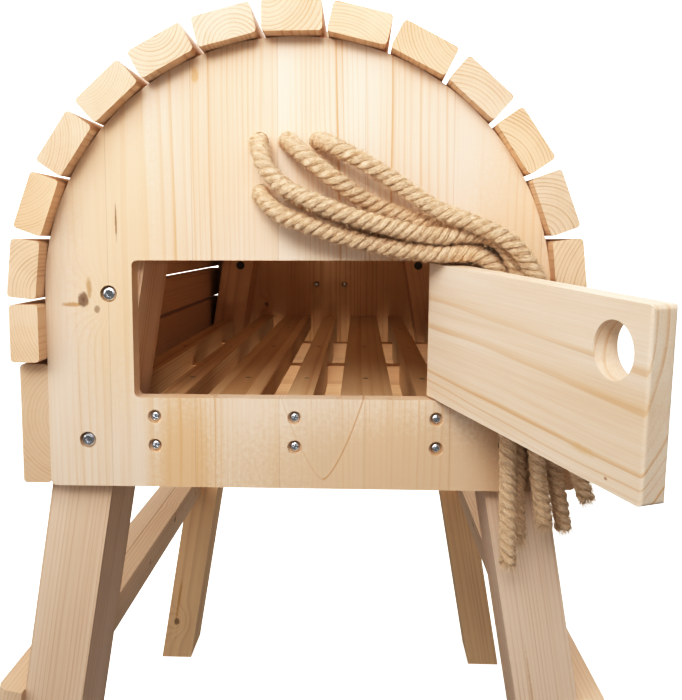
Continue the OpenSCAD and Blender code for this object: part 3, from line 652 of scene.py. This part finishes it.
# the flap's grain runs along it, so its frame is turned with it
joint = [j for j in frame["record"]["behaviour"]["joints"] if j["name"] == "flap_hinge"][0]
turn = Matrix.Rotation(math.radians(-joint["range_deg"][0]), 3, Vector(joint["axis"]))
# painted light: the flap's light colour is raised near white, above the other boards', to brighten its lit
# face
flap = wood("wood_flap", Vector(joint["pos_m"]), turn @ Z, turn @ Y, turn @ -X, (0.96, 0.82, 0.68),
            (0.76, 0.48, 0.25), pith=(0.05, 0.10), ring=0.0068, contrast=0.72, seed=12.0, orange=0.35,
            warp=0.022, thin=2.4, patchy=0.5,
            marks=[(-0.035, 0.205, 0.0035, 0.016, (0.80, 0.55, 0.30), 0.55),
                   (-0.046, 0.228, 0.0014, 0.0022, (0.45, 0.24, 0.10), 0.8)])
dress("flap", flap, 0.0010)

head = wood("wood_head", at(0, 868, 300), X, Y, Z, (0.86, 0.70, 0.50), (0.68, 0.46, 0.25),
            pith=(0.09, 0.14), ring=0.0040, contrast=0.5, seed=71.0, orange=0.4)
dress("head_board", head, 0.0016)
for sgn, side in ((-1, "left"), (1, "right")):
    m = wood("wood_cheek_" + side, at(0, 868, 200), Y, X, Z, (0.85, 0.68, 0.47), (0.66, 0.43, 0.22),
             pith=(0.07, sgn * 0.09), ring=0.0038, contrast=0.5, seed=80.0 + sgn, orange=0.4)
    dress("neck_cheek_" + side, m, 0.0016)

# ---------------------------------------------------------------- metal
ZINC = metal("zinc_plate", (0.80, 0.82, 0.85), 0.17)
DARK = metal("dark_plate", (0.17, 0.16, 0.15), 0.36)
for name in ("flap_pins", "board_screws", "leg_bolts", "slat_screws", "step_screws", "neck_bolts",
             "neck_screws"):
    dress(name, ZINC)
for name in ("leg_nuts", "floor_nails"):
    dress(name, DARK)
dress("tail_knots", JUTE)

# ---------------------------------------------------------------- studio
SKY = ((0.0, 0.40), (1.0, 0.38), (0.5, 0.17))  # height of the look, 0 down and 1 up; brightness
TONE = ((0.06, 0.02), (0.175, 0.10), (0.36, 0.30), (0.52, 0.50), (0.65, 0.65), (0.80, 0.80), (1.0, 0.95))
TONE_WHITE = 1.3  # light that comes out white


def studio():
    sc = bpy.context.scene
    world = bpy.data.worlds.new("studio")
    sc.world = world
    world.use_nodes = True
    nt = world.node_tree
    bg = nt.nodes["Background"]
    # soft light from above and from the pale floor, against a white backdrop
    co = nt.nodes.new("ShaderNodeTexCoord")
    sep = nt.nodes.new("ShaderNodeSeparateXYZ")
    ramp = nt.nodes.new("ShaderNodeValToRGB")
    ray = nt.nodes.new("ShaderNodeLightPath")
    mix = nt.nodes.new("ShaderNodeMix")
    mix.data_type = "RGBA"
    half = nt.nodes.new("ShaderNodeMath")
    half.operation = "MULTIPLY_ADD"
    half.inputs[1].default_value = 0.5
    half.inputs[2].default_value = 0.5
    nt.links.new(co.outputs["Generated"], sep.inputs[0])
    nt.links.new(sep.outputs[2], half.inputs[0])
    nt.links.new(half.outputs[0], ramp.inputs[0])
    for e, (p, v) in zip(list(ramp.color_ramp.elements) + [ramp.color_ramp.elements.new(0.5)], SKY):
        e.position = p
        e.color = (v, v, v, 1)
    nt.links.new(ray.outputs["Is Camera Ray"], mix.inputs["Factor"])
    nt.links.new(ramp.outputs[0], mix.inputs[6])
    mix.inputs[7].default_value = (2, 2, 2, 1)
    nt.links.new(mix.outputs[2], bg.inputs[0])
    bg.inputs[1].default_value = 1.0
    sc.view_settings.view_transform = "Standard"
    sc.view_settings.look = "None"
    sc.view_settings.use_curve_mapping = True
    curves = sc.view_settings.curve_mapping
    curves.white_level = (TONE_WHITE,) * 3
    tone = curves.curves[3].points
    for x, y in TONE:
        tone.new(x / TONE_WHITE, y)
    curves.update()
    floor_mat = Tree("studio_floor")
    floor_mat.bsdf.inputs["Base Color"].default_value = (0.93, 0.93, 0.92, 1)
    floor_mat.bsdf.inputs["Roughness"].default_value = 0.9
    floor_mat.bsdf.inputs["Specular IOR Level"].default_value = 0.1
    floor_mat.bsdf.inputs["Emission Color"].default_value = (1, 1, 1, 1)
    floor_mat.bsdf.inputs["Emission Strength"].default_value = 0.9
    s = 14.0
    me = bpy.data.meshes.new("floor")
    me.from_pydata([(-s, -s, 0), (s, -s, 0), (s, s, 0), (-s, s, 0)], [], [(0, 1, 2, 3)])
    me.materials.append(floor_mat.mat)
    fl = bpy.data.objects.new("floor", me)
    sc.collection.objects.link(fl)
    fl.visible_diffuse = False
    fl.visible_glossy = False

    def area(name, loc, target, size, power, colour=(1, 1, 1)):
        li = bpy.data.lights.new(name, "AREA")
        li.shape = "RECTANGLE"
        li.size, li.size_y = size
        li.energy = power
        li.color = colour
        ob = bpy.data.objects.new(name, li)
        ob.location = loc
        ob.rotation_euler = (Vector(target) - Vector(loc)).to_track_quat("-Z", "Y").to_euler()
        sc.collection.objects.link(ob)
        ob.visible_camera = False
        return li

    area("key", (-0.42, -1.45, 1.62), (0, -0.45, 0.92), (1.2, 0.8), 6.2)
    top = area("top", (-0.20, -1.60, 1.40), (0, -0.47, 1.05), (0.7, 0.4), 1.3)
    top.spread = math.radians(60)
    area("front", (0.20, -1.8, 0.95), (0, -0.3, 0.72), (0.9, 0.5), 0.9)
    bounce = area("bounce", (0.0, -0.40, 0.34), (0, 0.16, 0.60), (0.26, 0.10), 0.27, (1.0, 0.93, 0.86))
    bounce.spread = math.radians(100)
    area("fill", (-1.6, -1.5, 1.2), (0.1, -0.5, 0.8), (1.0, 1.0), 7)
    area("inside", at(0, 430, 335), at(0, 430, 0), (0.16, 0.60), 0.12, (1.0, 0.76, 0.48))
    area("back", (0.6, 2.6, 2.4), (0, 0, 0.8), (1.8, 1.2), 26)


studio()

bpy.context.view_layer.update()
